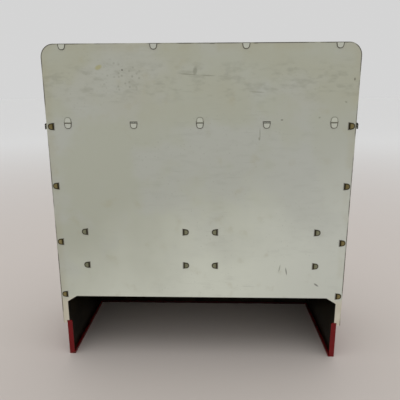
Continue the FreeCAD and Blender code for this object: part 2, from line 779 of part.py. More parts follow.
def knob_grip(x):
    """Bar grip tapered in its plan and in its side view."""
    root = FRONT_Y - KNOB_GAP
    tip = root - KNOB_SKIRT - KNOB_GRIP
    wide, narrow = KNOB_GRIP_WIDTH / 2, KNOB_GRIP_TIP_WIDTH / 2
    tall, short = KNOB_RADIUS - KNOB_GRIP_SETBACK, KNOB_RADIUS - 2 * KNOB_GRIP_SETBACK
    plan = [(x - wide, root, 0), (x - narrow, tip, 0), (x + narrow, tip, 0), (x + wide, root, 0)]
    view = [
        (root, KNOB_Z - tall, 0),
        (tip, KNOB_Z - short, 0),
        (tip, KNOB_Z + short, 0),
        (root, KNOB_Z + tall, 0),
    ]
    bar = prism(plan, on_xy(KNOB_Z - KNOB_RADIUS), Z_AXIS * (2 * KNOB_RADIUS))
    return bar.common(prism(view, on_yz(x - KNOB_RADIUS), X_AXIS * (2 * KNOB_RADIUS)))


def knob_cap(x):
    """Moulded knob: a many-sided skirt with a bar grip across it."""
    back = Vector(x, FRONT_Y - KNOB_GAP, KNOB_Z)
    skirt = prism(polygon(x, KNOB_Z, KNOB_RADIUS, KNOB_SIDES), on_xz(back.y), Y_AXIS * -KNOB_SKIRT)
    return joined(skirt, [knob_grip(x)]).cut(rod(PIN_RADIUS, back, -Y_AXIS, PIN_IN_KNOB))


def knob_pin(x):
    """Square-headed pin pushed through the panel from inside and driven into the knob."""
    head_y = INNER_FRONT_Y + KNOB_GAP
    length = head_y - FRONT_Y + KNOB_GAP + PIN_IN_KNOB
    half = PIN_HEAD / 2
    head = block(x - half, x + half, head_y, head_y + PIN_HEAD_THICK, KNOB_Z - half, KNOB_Z + half)
    return joined(head, [rod(PIN_RADIUS, Vector(x, head_y, KNOB_Z), -Y_AXIS, length)])


def all_parts():
    parts = {
        "back_panel": back_panel(),
        "left_side_panel": side_panel(LEFT),
        "right_side_panel": side_panel(RIGHT),
        "front_panel": front_panel(),
        "front_kick_plate": front_kick_plate(),
        "left_kick_plate": side_kick_plate(LEFT),
        "right_kick_plate": side_kick_plate(RIGHT),
        "range_top": range_top(),
        "splash_panel": splash_panel(),
        "burner_discs": Part.makeCompound([burner_disc(place) for place in burner_places()]),
    }
    for name, side in (("left", LEFT), ("right", RIGHT)):
        parts[name + "_oven_liner"] = oven_liner(side)
        parts[name + "_oven_shelf"] = oven_shelf(side)
        parts[name + "_hinge_rod"] = hinge_rod(side)
        parts[name + "_door_skin"] = door_skin(side)
        parts[name + "_door_back"] = door_back(side)
        parts[name + "_door_handle"] = door_handle(side)
    for number, x in enumerate(knob_places(), 1):
        parts["knob_cap_%d" % number] = knob_cap(x)
        parts["knob_pin_%d" % number] = knob_pin(x)
    return parts


def main():
    os.makedirs("parts", exist_ok=True)
    for name, shape in all_parts().items():
        if not shape.isValid() or any(solid.Volume <= 0 for solid in shape.Solids):
            raise RuntimeError("unsound solid: " + name)
        shape.exportStep("parts/%s.step" % name)
        print(name, len(shape.Solids), round(shape.Volume, 1))


main()
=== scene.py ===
"""Looks for the tinplate toy kitchen range: materials, floor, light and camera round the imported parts."""
import json
import math

import bmesh
import bpy
from mathutils import Matrix, Vector


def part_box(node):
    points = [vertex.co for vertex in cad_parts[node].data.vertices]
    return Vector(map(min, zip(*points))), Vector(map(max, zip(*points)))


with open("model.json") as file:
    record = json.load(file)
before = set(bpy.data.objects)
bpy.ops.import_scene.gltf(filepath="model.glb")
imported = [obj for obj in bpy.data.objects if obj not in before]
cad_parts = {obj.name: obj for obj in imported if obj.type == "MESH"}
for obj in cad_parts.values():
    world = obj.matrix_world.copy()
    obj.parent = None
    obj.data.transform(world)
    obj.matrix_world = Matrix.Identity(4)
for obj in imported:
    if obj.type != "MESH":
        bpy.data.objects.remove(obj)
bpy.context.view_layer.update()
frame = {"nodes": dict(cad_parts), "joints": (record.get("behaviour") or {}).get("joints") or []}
NODES = frame["nodes"]

# Sizes below are millimetres in the part's own frame, and shading works in them too
MM = 0.001


def box_of(node):
    """Lowest and highest corner of a part at rest."""
    return [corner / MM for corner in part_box(node)]


# Camera of the photograph, whose frame is 400 pixels square
PHOTO_WIDTH = 400
FOCAL_PIXELS = 431.5
SENSOR = 36.0
CAMERA_PLACE = (-12.3, 494.6, 281.3)
CAMERA_YAW = 0.02955
CAMERA_PITCH = math.radians(13.87)
CAMERA_ROLL = -0.00371

# Floor and light
FLOOR_RADIUS, FLOOR_SIDES = 30000, 64
CLOTH_NEAR, CLOTH_FAR = 150, 2500
KEY_PLACE = (0, 100, 1500)
KEY_SIZE = 1900
KEY_POWER = 7.0
SKY_COLOUR = (1, 1, 1, 1)
SKY_STRENGTH = 0.82
SKY_SEEN = 0.66

# Sheets, read from the frame
PANEL_HALF, PANEL_BACK, PANEL_TOP = box_of("back_panel")[1]
COUNTER_Z = box_of("range_top")[1].z
KICK_TOP = box_of("front_kick_plate")[1].z
DOOR_FACE_Y = box_of("right_door_skin")[0].y

# Sheet sizes that no part's box gives
PANEL_CORNER = 12.5
WALL_IN, WALL_OUT = 143.1, 143.6
FRONT_INNER_Y = -53.5

# Folded tabs as (width at the root, length, width at the tip), and their places
TOP_TAB = (6.9, 5.4, 5.0)
WHITE_TAB = (6.6, 5.2, 5.4)
GOLD_TAB = (6.4, 5.3, 4.8)
TAB_ROUND = 2.2
TOP_TAB_END, TOP_TAB_PITCH = 129.5, 259.0 / 3
COUNTER_TAB_END, COUNTER_TAB_PITCH = 128.8, 64.4
SIDE_TAB_LOW, SIDE_TAB_PITCH = 72.3, 178.0 / 3
SIDE_TAB_TOP = SIDE_TAB_LOW + 3.5 * SIDE_TAB_PITCH
OVEN_IN, OVEN_OUT = 17.5, 117.0
OVEN_Z, OVEN_TAB_REACH = 124.4, 18.3

# Knobs and burners, read from the frame apart from the burners' radius
KNOB_JOINTS = [joint for joint in frame["joints"] if joint["child"].startswith("knob_")]
KNOB_NUMBERS = [joint["child"].rsplit("_", 1)[1] for joint in KNOB_JOINTS]
KNOB_PLACES = [Vector(joint["pos_m"]) / MM for joint in KNOB_JOINTS]
KNOB_END = KNOB_PLACES[-1].x
KNOB_PITCH = KNOB_PLACES[1].x - KNOB_PLACES[0].x
KNOB_Z = KNOB_PLACES[0].z
KNOB_TIP_Y = box_of("knob_cap_1")[0].y
BURNER_LOW, BURNER_HIGH = box_of("burner_discs")
BURNER_RADIUS = 21.0

# Printed ticks round the knobs, pointer on each knob and rings on the burners
TICK_INNER, TICK_OUTER = 14.55, 17.65
TICK_STEP, TICK_SPREAD = math.radians(30), math.radians(139)
TICK_BLUR, TICK_TURN_BLUR = 0.15, math.radians(1)
TICK_HALF = (0.5, 0.25)
POINTER_HALF = (0.8, 0.6)
POINTER_DEPTH = (KNOB_TIP_Y + 0.4, KNOB_TIP_Y + 0.2)
POINTER_HEIGHT = (KNOB_Z + 1.0, KNOB_Z + 1.4)
RING_PITCH = 4.5
RING_HALF = (1.0, 0.5)

# Paint colours, linear
WHITE_CLEAN = (0.700, 0.728, 0.632, 1)
# Yellowed white, which is also the painted shade on the upper back panel and on its tabs
WHITE_AGED_AND_SHADED = (0.451, 0.466, 0.384, 1)
WHITE_COOL = (0.490, 0.505, 0.480, 1)
WHITE_CREAM = (0.665, 0.612, 0.500, 1)
STAIN = (0.400, 0.375, 0.240, 1)
YELLOW_STAIN = (0.400, 0.370, 0.140, 1)
SCUFF = (0.250, 0.255, 0.195, 1)
# Near black of specks, tarnish and chips, and of the painted shadow in the counter's slots
SPECK_AND_SHADOW = (0.045, 0.034, 0.022, 1)
# Dark brown of bare edges, rubbed paint and printed ticks, and of painted shade round and on the tabs and
# against the doors' raised field
BARE_EDGE_AND_SHADE = (0.075, 0.066, 0.046, 1)
GOLD_PALE = (0.300, 0.250, 0.115, 1)
GOLD_DEEP = (0.150, 0.118, 0.046, 1)
GOLD_GREYED = (0.235, 0.255, 0.175, 1)
GOLD_RIM = (0.034, 0.027, 0.012, 1)
# Near black for the painted shade on the faces inside the cabinet; the dull one also marks the lip's ends
# beside the back panel
NEAR_BLACK_DULL = (0.016, 0.012, 0.006, 1)
NEAR_BLACK_DEEP = (0.006, 0.005, 0.003, 1)
RED_PAINT = (0.192, 0.004, 0.006, 1)
RED_DEEP = (0.120, 0.003, 0.005, 1)
# Dark red painted shade on the inner face of the front kick plate
RED_SHADED = (0.022, 0.004, 0.004, 1)
RED_MOULDED = (0.340, 0.010, 0.014, 1)
BLACK_PAINT = (0.016, 0.016, 0.017, 1)
BLACK_WORN = (0.070, 0.066, 0.060, 1)
STEEL = (0.560, 0.560, 0.550, 1)
STEEL_DULL = (0.300, 0.290, 0.270, 1)
CLOTH_WARM = (0.525, 0.477, 0.444, 1)
CLOTH_WHITE = (0.811, 0.811, 0.807, 1)

# Strength of the mirror layer on white paint, on red paint and on the inside faces that are painted
# near-black as shade
GLOSS, RED_GLOSS, DULL = 0.45, 0.25, 0.10

# Metal in the gold lacquer, greying of its tabs behind the back panel, and depth of the sheets' waves
GOLD_METAL = 0.6
GREYED_SHARE = 0.75
WAVE_DEPTH = 0.25

# Ageing of the white paint and painted shade on the back panel and its tabs, where pairs say where a tint
# starts and where it is full
TAB_SHADE = 0.65
SHADE_HEIGHTS = (110.0, 270.0)
SHADE_LEANS = (0.6, 0.25)
SHADE_WANDER = 90.0
COOL_ACROSS, COOL_HEIGHTS, COOL_SHARE = (-20.0, -140.0), (290.0, 200.0), 0.4
BROWN_HEIGHTS = (240.0, 285.0)
LEG_HEIGHTS, LEG_SHARE = (72.0, 62.0), 0.85

# Wear of edges and round tabs, and painted shade round and on the tabs and in the slots, in the same way,
# as distances or places
SMUDGE_Z, SMUDGE_REACH = 293.0, (26.0, 6.0)
HANDLED_REACH, HANDLED_SHARE = (10.0, 2.0), 0.25
OUTLINE_WEAR = (1.3, 0.3)
CORNER_ACROSS, CORNER_HEIGHTS = (PANEL_HALF - 9, PANEL_HALF - 4), (295.0, 310.0)
TAB_GRIME_AND_SHADOW, FAINT_SHARE = (-0.75, -0.20), 0.55
SLOT_ENDS, SLOT_EDGES, SLOT_RISE = (3.9, 3.4), (1.2, 0.7), 0.4
WHITE_RIM_WIDTH, GOLD_RIM_WIDTH, RIM_CORE = 0.5, 1.0, 0.3
UPPER_TABS = (PANEL_TOP - 20, PANEL_TOP - 19)
DOOR_STEP = (DOOR_FACE_Y + 1.0, DOOR_FACE_Y + 0.7)
KICK_EDGE, KICK_FOOT, KICK_FRONT = (1.0, 0.2), (4.0, 0.5), (10.0, 0.0)

# How far a face is turned to an axis, as its normal's share along it, where a mask starts and is full
FACING = (0.4, 0.6)
CUT_EDGE = (0.6, 0.4)
STEEP_STEP = (0.5, 0.3)
BEVEL_TILT = (0.14, 0.06)

# Patch of fine dirt on the back panel as (x, z, length, width, tilt in degrees)
SPECKLED_PATCH = (73.0, 297.0, 60.0, 44.0, 0)

# Single marks on the back panel as (x, z, length, width, tilt in degrees, colour)
MARK_SHARE = 0.65
PANEL_WEAR = [
    (95.8, 305.6, 9.5, 5.5, -25, YELLOW_STAIN),
    (73.4, 303.1, 2.6, 2.2, 0, SPECK_AND_SHADOW),
    (-145.1, 293.9, 2.2, 3.6, 0, SPECK_AND_SHADOW),
    (-138.6, 273.0, 3.4, 2.2, 35, SCUFF),
    (-114.5, 258.5, 2.8, 2.2, 0, SCUFF),
    (11.1, 298.9, 24.0, 1.5, 4, SCUFF),
    (-7.8, 297.7, 18.0, 1.3, 2, SCUFF),
    (4.4, 302.0, 10.0, 5.5, 100, SCUFF),
    (-54.2, 282.4, 18.0, 1.4, 3, SCUFF),
    (-78.8, 256.3, 3.4, 1.6, 0, SPECK_AND_SHADOW),
    (-58.2, 243.0, 15.0, 1.3, 88, SCUFF),
    (-57.6, 238.3, 4.5, 2.2, 88, SCUFF),
    (-82.5, 103.5, 11.0, 1.5, 100, SCUFF),
    (-89.6, 100.2, 11.0, 1.7, 80, SPECK_AND_SHADOW),
    (-121.6, 85.2, 7.5, 2.4, 36, SPECK_AND_SHADOW),
    (-11.5, 326.3, 8.0, 1.6, 0, SPECK_AND_SHADOW),
    (-52.0, 326.3, 6.0, 1.6, 0, SPECK_AND_SHADOW),
]

# Sockets of a Mix node as (first, second, result), for each kind of value
MIX_SOCKETS = {"FLOAT": (2, 3, 0), "RGBA": (6, 7, 2)}
EVEN = (1, 1, 1)


class Shade:
    """Node tree of one material. Each call adds nodes and returns an output, and masks run from 0 to 1."""

    def __init__(self, name):
        self.material = bpy.data.materials.new(name)
        self.material.use_nodes = True
        self.tree = self.material.node_tree
        self.surface = self.tree.nodes["Principled BSDF"]
        coords = self.tree.nodes.new("ShaderNodeTexCoord")
        self.place = self.scaled(coords.outputs["Object"], (1 / MM, 1 / MM, 1 / MM))
        self.x, self.y, self.z = self.parts(self.place)
        self.out_x = self.absolute(self.x)
        self.facing_x, self.facing_y, self.facing_z = self.parts(coords.outputs["Normal"])

    def add(self, kind, settings=None, **inputs):
        node = self.tree.nodes.new(kind)
        for key, value in (settings or {}).items():
            setattr(node, key, value)
        for key, value in inputs.items():
            self.put(node.inputs[key], value)
        return node

    def put(self, socket, value):
        """Links an output to a socket, or sets a plain value on it."""
        if isinstance(value, bpy.types.NodeSocket):
            self.tree.links.new(value, socket)
        else:
            socket.default_value = value

    def parts(self, vector):
        return self.add("ShaderNodeSeparateXYZ", Vector=vector).outputs

    def scaled(self, vector, sizes):
        node = self.add("ShaderNodeVectorMath", {"operation": "MULTIPLY"})
        self.put(node.inputs[0], vector)
        self.put(node.inputs[1], sizes)
        return node.outputs["Vector"]

    def math(self, operation, *values):
        node = self.add("ShaderNodeMath", {"operation": operation})
        for socket, value in zip(node.inputs, values):
            self.put(socket, value)
        return node.outputs["Value"]

    def chain(self, operation, values):
        result = values[0]
        for value in values[1:]:
            result = self.math(operation, result, value)
        return result

    def most(self, *values):
        return self.chain("MAXIMUM", values)

    def both(self, *shares):
        return self.chain("MULTIPLY", shares)

    def absolute(self, value):
        return self.math("ABSOLUTE", value)

    def distance(self, value, place):
        return self.absolute(self.math("SUBTRACT", value, place))

    def reach(self, u, v):
        return self.math("SQRT", self.math("ADD", self.both(u, u), self.both(v, v)))

    def fold(self, value, first, pitch):
        """Distance from the nearest of a row of places."""
        return self.math("PINGPONG", self.math("SUBTRACT", value, first), pitch / 2)

    def ramp(self, value, start, full, strength=1.0):
        """0 at start and strength at full, with a smooth change between them."""
        node = self.add("ShaderNodeMapRange", {"interpolation_type": "SMOOTHSTEP"}, Value=value)
        node.inputs["From Min"].default_value = start
        node.inputs["From Max"].default_value = full
        node.inputs["To Max"].default_value = strength
        return node.outputs["Result"]

    def blend(self, kind, share, first, second):
        node = self.add("ShaderNodeMix", {"data_type": kind})
        first_in, second_in, result = MIX_SOCKETS[kind]
        self.put(node.inputs["Factor"], share)
        self.put(node.inputs[first_in], first)
        self.put(node.inputs[second_in], second)
        return node.outputs[result]

    def mix(self, share, first, second):
        """First colour where share is 0, second colour where it is 1."""
        return self.blend("RGBA", share, first, second)

    def between(self, share, first, second):
        """First number where share is 0, second number where it is 1."""
        return self.blend("FLOAT", share, first, second)

    def noise(self, size, detail, stretch=EVEN):
        """Cloudy noise with features about size across, drawn out by stretch."""
        sizes = [1 / (size * share) for share in stretch]
        place = self.scaled(self.place, sizes)
        return self.add("ShaderNodeTexNoise", Vector=place, Scale=1.0, Detail=detail).outputs["Fac"]

    def clouds(self, size, detail, start, full, strength=1.0, stretch=EVEN):
        """Patches where cloudy noise rises from start to full."""
        return self.ramp(self.noise(size, detail, stretch), start, full, strength)

    def uneven(self, size, detail, low, high):
        """A number that wanders between low and high."""
        return self.between(self.noise(size, detail), low, high)

    def specks(self, cell, radius, share, strength=1.0):
        """Round spots in a share of the cells of a random grid."""
        place = self.scaled(self.place, (1 / cell, 1 / cell, 1 / cell))
        node = self.add("ShaderNodeTexVoronoi", Vector=place, Scale=1.0)
        chosen = self.ramp(self.parts(node.outputs["Color"])[0], 1 - share, 1.02 - share)
        spot = self.ramp(node.outputs["Distance"], radius / cell, 0.4 * radius / cell, strength)
        return self.both(chosen, spot)

    def spot(self, x, z, length, width, tilt):
        """A long mark on the back panel, strongest along its middle."""
        node = self.add("ShaderNodeMapping", {"vector_type": "TEXTURE"}, Vector=self.place)
        node.inputs["Location"].default_value = (x, PANEL_BACK, z)
        node.inputs["Rotation"].default_value = (0, -math.radians(tilt), 0)
        node.inputs["Scale"].default_value = (length / 2, 1, width / 2)
        settings = {"gradient_type": "SPHERICAL"}
        fade = self.add("ShaderNodeTexGradient", settings, Vector=node.outputs["Vector"])
        return self.ramp(fade.outputs["Fac"], 0.0, 0.6)

    def finish(self, colour, roughness, metallic=0.0, height=None, depth=0.0, specular=0.5):
        """Sets the surface, with bumps of that depth where a height is given."""
        self.put(self.surface.inputs["Base Color"], colour)
        self.put(self.surface.inputs["Roughness"], roughness)
        self.put(self.surface.inputs["Metallic"], metallic)
        self.put(self.surface.inputs["Specular IOR Level"], specular)
        if height is not None:
            bump = self.add("ShaderNodeBump", Height=height, Strength=1.0, Distance=depth * MM)
            self.put(self.surface.inputs["Normal"], bump.outputs["Normal"])
        return self.material


# Outlines, as the distance inside them, which is under 0 outside

def corner_inset(shade, u, v, radius):
    """Inset of a rounded corner, where u and v run outward from the middle of its arc."""
    arc = shade.reach(shade.math("MAXIMUM", u, 0.0), shade.math("MAXIMUM", v, 0.0))
    straight = shade.math("MINIMUM", shade.math("MAXIMUM", u, v), 0.0)
    return shade.math("SUBTRACT", radius, shade.math("ADD", arc, straight))


def panel_inset(shade):
    """Inset of the back panel at its sides, top and rounded upper corners."""
    u = shade.math("SUBTRACT", shade.out_x, PANEL_HALF - PANEL_CORNER)
    v = shade.math("SUBTRACT", shade.z, PANEL_TOP - PANEL_CORNER)
    return corner_inset(shade, u, v, PANEL_CORNER)


def tab_inset(shade, across, along, size):
    """Inset of a tab with a rounded tip, from its middle line and root, and half as deep at the root."""
    width, length, tip = size
    slope = (width - tip) / 2 / length
    half = shade.math("MULTIPLY_ADD", along, -slope, width / 2 - TAB_ROUND)
    u = shade.math("SUBTRACT", across, half)
    v = shade.math("SUBTRACT", along, length - TAB_ROUND)
    return shade.math("MINIMUM", corner_inset(shade, u, v, TAB_ROUND), shade.both(along, 0.5))


def top_tabs(shade):
    across = shade.fold(shade.x, -TOP_TAB_END, TOP_TAB_PITCH)
    return tab_inset(shade, across, shade.math("SUBTRACT", PANEL_TOP, shade.z), TOP_TAB)


def counter_tabs_down(shade):
    across = shade.fold(shade.x, -COUNTER_TAB_END, COUNTER_TAB_PITCH)
    return tab_inset(shade, across, shade.math("SUBTRACT", COUNTER_Z, shade.z), WHITE_TAB)


def counter_tabs_up(shade):
    across = shade.fold(shade.x, -COUNTER_TAB_END, 2 * COUNTER_TAB_PITCH)
    return tab_inset(shade, across, shade.math("SUBTRACT", shade.z, COUNTER_Z), WHITE_TAB)


def side_tabs(shade):
    height = shade.math("MINIMUM", shade.z, SIDE_TAB_TOP)
    across = shade.fold(height, SIDE_TAB_LOW, SIDE_TAB_PITCH)
    return tab_inset(shade, across, shade.math("SUBTRACT", shade.out_x, WALL_IN), GOLD_TAB)


def oven_tabs(shade):
    across = shade.distance(shade.distance(shade.z, OVEN_Z), OVEN_TAB_REACH)
    outer = tab_inset(shade, across, shade.math("SUBTRACT", shade.out_x, OVEN_OUT), GOLD_TAB)
    inner = tab_inset(shade, across, shade.math("SUBTRACT", OVEN_IN, shade.out_x), GOLD_TAB)
    return shade.most(outer, inner)


# Masks by the way a face looks, or by its place

def faces(shade, along, sign):
    """Faces that look along an axis, or against it where sign is -1."""
    start, full = FACING
    return shade.ramp(along, sign * start, sign * full)


def faces_forward(shade):
    return faces(shade, shade.facing_y, -1)


def faces_back(shade):
    return faces(shade, shade.facing_y, 1)


def faces_down(shade):
    return faces(shade, shade.facing_z, -1)


def faces_inward(shade):
    return faces(shade, shade.both(shade.facing_x, shade.math("SIGN", shade.x)), -1)


def inside_panel(shade):
    """The back panel's front face, between the walls."""
    return shade.both(faces_forward(shade), shade.ramp(shade.out_x, WALL_OUT, WALL_IN))


def inside_front(shade):
    """The front panel's inner face and the inner sides of its turned-back flanges."""
    flange = shade.both(faces_inward(shade), shade.ramp(shade.y, FRONT_INNER_Y, FRONT_INNER_Y + 0.5))
    return shade.most(faces_back(shade), flange)


def behind_panel(shade):
    """What stands out behind the back panel."""
    return shade.ramp(shade.y, PANEL_BACK - 0.05, PANEL_BACK + 0.05)


# Paints, of which the first two return (colour, roughness), and what ages or wears them or paints shade on
# them

def white_paint(shade, age_and_shade):
    """Old off-white enamel, darkened by the given share of yellowing and painted shade, with cloudy tints,
    stains, smeared dirt, fine scuffs and dark specks.
    """
    colour = shade.mix(age_and_shade, WHITE_CLEAN, WHITE_AGED_AND_SHADED)
    cool = shade.both(shade.clouds(size=46, detail=3, start=0.42, full=0.62, strength=0.45), age_and_shade)
    colour = shade.mix(cool, colour, WHITE_COOL)
    stains = shade.clouds(size=15, detail=4, start=0.58, full=0.80, strength=0.30)
    colour = shade.mix(stains, colour, STAIN)
    used = shade.clouds(size=48, detail=1, start=0.42, full=0.62)
    smears = shade.clouds(size=5, detail=4, start=0.46, full=0.78, strength=0.13, stretch=(3, 3, 1))
    lines = shade.clouds(size=2.4, detail=3, start=0.64, full=0.74, strength=0.35, stretch=(14, 14, 0.35))
    mottle = shade.specks(cell=3.2, radius=0.9, share=0.30, strength=0.22)
    colour = shade.mix(shade.both(used, shade.most(smears, lines, mottle)), colour, SCUFF)
    colour = shade.mix(shade.specks(cell=18, radius=0.7, share=0.08, strength=0.7), colour, SPECK_AND_SHADOW)
    return colour, shade.uneven(size=22, detail=3, low=0.26, high=0.42)


def gold_paint(shade):
    """Gold lacquer on rolled tin, browner where it has aged, with a few tarnish spots."""
    aged = shade.clouds(size=34, detail=2, start=0.30, full=0.80)
    colour = shade.mix(aged, GOLD_PALE, GOLD_DEEP)
    streaks = shade.noise(size=1.2, detail=2, stretch=(14, 1, 1))
    colour = shade.mix(shade.both(streaks, 0.35), colour, GOLD_DEEP)
    colour = shade.mix(shade.specks(cell=11, radius=0.8, share=0.15, strength=0.6), colour, SPECK_AND_SHADOW)
    return colour, shade.between(streaks, 0.28, 0.45)


def inside_painted_shade(shade):
    """Painted near-black shade on the hidden faces, with a cloudy tone."""
    return shade.mix(shade.clouds(size=14, detail=4, start=0.35, full=0.68), NEAR_BLACK_DULL, NEAR_BLACK_DEEP)


def sheet_age_and_tab_shade(shade):
    """Slight uneven yellowing, and painted shade on the tabs behind the back panel."""
    sheet = shade.uneven(size=60, detail=2, low=0.20, high=0.65)
    return shade.between(behind_panel(shade), sheet, TAB_SHADE)


def panel_painted_shade(shade):
    """Painted shade on the back panel: lightest low down, darker above an uneven border that drops to one
    side.
    """
    lean = shade.most(*[shade.both(shade.x, slope) for slope in SHADE_LEANS])
    height = shade.math("ADD", shade.z, lean)
    height = shade.math("MULTIPLY_ADD", shade.noise(size=60, detail=3), SHADE_WANDER, height)
    return shade.ramp(height, *SHADE_HEIGHTS)


def waviness(shade):
    """Slow unevenness of thin pressed sheet."""
    return shade.noise(size=38, detail=1)


def chips(shade, size):
    return shade.clouds(size, detail=4, start=0.56, full=0.64)


def worn_bevel(shade, facing):
    """Paint rubbed off the bevels, which lie at half a right angle."""
    tilt = shade.distance(shade.absolute(facing), math.sqrt(0.5))
    return shade.both(shade.ramp(tilt, *BEVEL_TILT, strength=0.8), chips(shade, size=6))


# Marks on the sheets, each of which returns the marked colour

def tab_rim_wear_and_shade(shade, colour, inset, width, rim_colour):
    """Dark rim of a tab that is folded over behind the panel: worn edge, and painted shade where the tab
    bends over and at its root.
    """
    rim = shade.both(behind_panel(shade), shade.ramp(inset, width, RIM_CORE * width))
    return shade.mix(rim, colour, rim_colour)


def panel_tints(shade, colour):
    """Cooler low down to one side, browner above the counter, and cream on the legs."""
    cool = shade.both(shade.ramp(shade.x, *COOL_ACROSS), shade.ramp(shade.z, *COOL_HEIGHTS), COOL_SHARE)
    colour = shade.mix(cool, colour, WHITE_COOL)
    browned = shade.uneven(size=40, detail=2, low=-0.15, high=0.45)
    colour = shade.mix(shade.both(shade.ramp(shade.z, *BROWN_HEIGHTS), browned), colour, STAIN)
    return shade.mix(shade.ramp(shade.z, *LEG_HEIGHTS, strength=LEG_SHARE), colour, WHITE_CREAM)


def panel_dirt(shade, colour):
    """Band of smudges, patch of fine dirt and single marks."""
    smears = shade.clouds(size=4, detail=5, start=0.46, full=0.72, strength=0.32, stretch=(2.4, 2.4, 1))
    smudges = shade.both(smears, shade.ramp(shade.distance(shade.z, SMUDGE_Z), *SMUDGE_REACH))
    fine_dirt = shade.specks(cell=3.4, radius=1.5, share=0.5, strength=0.5)
    patch = shade.both(shade.spot(*SPECKLED_PATCH), fine_dirt)
    colour = shade.mix(shade.most(smudges, patch), colour, SCUFF)
    for *spot, stain in PANEL_WEAR:
        colour = shade.mix(shade.both(shade.spot(*spot), MARK_SHARE), colour, stain)
    return colour


def counter_slot_shadows(shade, colour):
    """Painted shadow in the slots in which the counter's tabs come through."""
    ends = shade.ramp(shade.fold(shade.x, -COUNTER_TAB_END, COUNTER_TAB_PITCH), *SLOT_ENDS)
    edges = shade.ramp(shade.distance(shade.z, COUNTER_Z + SLOT_RISE), *SLOT_EDGES)
    return shade.mix(shade.both(ends, edges), colour, SPECK_AND_SHADOW)


def tab_grime_and_shadow(shade):
    """Grime and painted contact shadow on the back panel round every tab, and fainter round those that are
    folded up.
    """
    tabs = [tab(shade) for tab in (top_tabs, counter_tabs_down, side_tabs, oven_tabs)]
    line = shade.ramp(shade.most(*tabs), *TAB_GRIME_AND_SHADOW)
    faint_line = shade.ramp(counter_tabs_up(shade), *TAB_GRIME_AND_SHADOW, strength=FAINT_SHARE)
    return shade.both(shade.most(line, faint_line), shade.uneven(size=7, detail=2, low=0.45, high=1.1))


def panel_edges(shade, colour):
    """Handled border, bare cut edges, rubbed outline, and the grime and painted shadow round every tab."""
    outline = panel_inset(shade)
    handled = shade.clouds(size=20, detail=3, start=0.35, full=0.60, strength=HANDLED_SHARE)
    colour = shade.mix(shade.both(handled, shade.ramp(outline, *HANDLED_REACH)), colour, STAIN)
    cut_edge = shade.ramp(shade.absolute(shade.facing_y), *CUT_EDGE)
    corners = shade.both(shade.ramp(shade.out_x, *CORNER_ACROSS), shade.ramp(shade.z, *CORNER_HEIGHTS))
    rubbed = shade.most(corners, shade.clouds(size=26, detail=3, start=0.34, full=0.60))
    worn = shade.both(rubbed, shade.ramp(outline, *OUTLINE_WEAR))
    return shade.mix(shade.most(tab_grime_and_shadow(shade), cut_edge, worn), colour, BARE_EDGE_AND_SHADE)


def panel_marks(shade, colour):
    for marks in (panel_tints, panel_dirt, counter_slot_shadows, panel_edges):
        colour = marks(shade, colour)
    return colour


def top_marks(shade, colour):
    """Tab rims, worn rim and the lip's ends beside the back panel, painted near-black."""
    colour = tab_rim_wear_and_shade(shade, colour, counter_tabs_down(shade), WHITE_RIM_WIDTH, BARE_EDGE_AND_SHADE)
    lip_end = shade.both(faces_back(shade), shade.ramp(shade.y, PANEL_BACK, PANEL_BACK - 0.2))
    colour = shade.mix(lip_end, colour, NEAR_BLACK_DULL)
    return shade.mix(worn_bevel(shade, shade.facing_z), colour, BARE_EDGE_AND_SHADE)


def splash_marks(shade, colour):
    """Rims of the tabs at the top edge, and fainter ones on the tabs at the counter."""
    upper = shade.ramp(shade.z, *UPPER_TABS)
    inset = shade.between(upper, counter_tabs_up(shade), top_tabs(shade))
    return tab_rim_wear_and_shade(shade, colour, inset, WHITE_RIM_WIDTH, shade.mix(upper, SCUFF, BARE_EDGE_AND_SHADE))


def knob_ticks(shade, colour):
    """Short printed ticks over and beside each knob."""
    u = shade.math("WRAP", shade.x, KNOB_PITCH / 2, -KNOB_PITCH / 2)
    v = shade.math("SUBTRACT", shade.z, KNOB_Z)
    reach = shade.reach(u, v)
    turn = shade.absolute(shade.math("ARCTAN2", u, v))
    line = shade.ramp(shade.both(shade.fold(turn, 0.0, TICK_STEP), reach), *TICK_HALF)
    outside = shade.ramp(reach, TICK_INNER - TICK_BLUR, TICK_INNER + TICK_BLUR)
    inside = shade.ramp(reach, TICK_OUTER + TICK_BLUR, TICK_OUTER - TICK_BLUR)
    upper = shade.ramp(turn, TICK_SPREAD + TICK_TURN_BLUR, TICK_SPREAD - TICK_TURN_BLUR)
    row_end = KNOB_END + KNOB_PITCH / 2
    row = shade.ramp(shade.out_x, row_end, row_end - 1)
    tick = shade.both(line, outside, inside, upper, row, faces_forward(shade))
    return shade.mix(tick, colour, BARE_EDGE_AND_SHADE)


def door_marks(shade, colour):
    """Rubbed bevels, and grime and painted shade against the raised field."""
    step = shade.ramp(shade.absolute(shade.facing_y), *STEEP_STEP, strength=0.6)
    grime_and_shade = shade.both(step, shade.ramp(shade.y, *DOOR_STEP))
    return shade.mix(shade.most(grime_and_shade, worn_bevel(shade, shade.facing_y)), colour, BARE_EDGE_AND_SHADE)


# Materials

def white_sheet(name, marks, inside=None, age_and_shade=sheet_age_and_tab_shade):
    """White enamel, with painted near-black shade on the faces inside the cabinet."""
    shade = Shade(name)
    colour, roughness = white_paint(shade, age_and_shade(shade))
    specular = GLOSS
    if inside is not None:
        within = inside(shade)
        colour = shade.mix(within, colour, inside_painted_shade(shade))
        specular = shade.between(within, GLOSS, DULL)
    colour = marks(shade, colour)
    return shade.finish(colour, roughness, height=waviness(shade), depth=WAVE_DEPTH, specular=specular)


